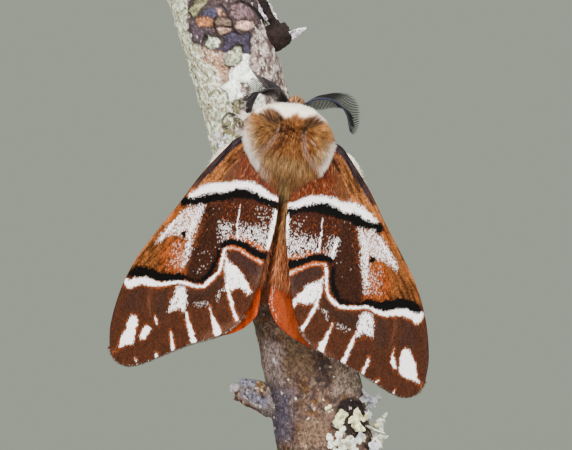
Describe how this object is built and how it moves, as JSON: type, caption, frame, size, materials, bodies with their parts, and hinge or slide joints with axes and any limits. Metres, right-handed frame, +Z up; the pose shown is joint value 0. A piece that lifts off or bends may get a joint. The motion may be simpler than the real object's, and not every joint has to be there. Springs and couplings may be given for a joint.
{
  "type": "moth model",
  "caption": "Life-size still model of a male Kentish glory moth resting head up on a short lichened branch, held by a rod on a flat display base.",
  "frame": {"origin": "on the floor under the middle of the display base", "axes": "+Z up, the moth's back faces -Y, +X towards the moth's right side"},
  "size_m": [0.054, 0.038, 0.06],
  "materials": {
    "thorax_fur": "soft brown hair",
    "head_fur": "soft orange brown hair",
    "abdomen_fur": "soft rusty hair",
    "eye_dark": "glossy, nearly black",
    "antenna_dark": "matt dark grey",
    "forewing_scales": "matt brown scales",
    "hindwing_scales": "matt orange scales",
    "leg_fur": "soft dark brown hair",
    "bark": "rough bark with lichen",
    "stand_base_lacquer": "dark satin",
    "stand_rod_metal": "brushed"
  },
  "bodies": {
    "root": {"thorax": "thorax_fur", "head": "head_fur", "abdomen": "abdomen_fur", "eye_left": "eye_dark", "eye_right": "eye_dark", "antenna_left": "antenna_dark", "antenna_right": "antenna_dark", "forewing_left": "forewing_scales", "forewing_right": "forewing_scales", "hindwing_left": "hindwing_scales", "hindwing_right": "hindwing_scales", "leg_front_left": "leg_fur", "leg_front_right": "leg_fur", "leg_mid_left": "leg_fur", "leg_mid_right": "leg_fur", "leg_hind_left": "leg_fur", "leg_hind_right": "leg_fur", "perch_branch": "bark", "stand_base": "stand_base_lacquer", "stand_rod": "stand_rod_metal"}
  },
  "joints": []
}
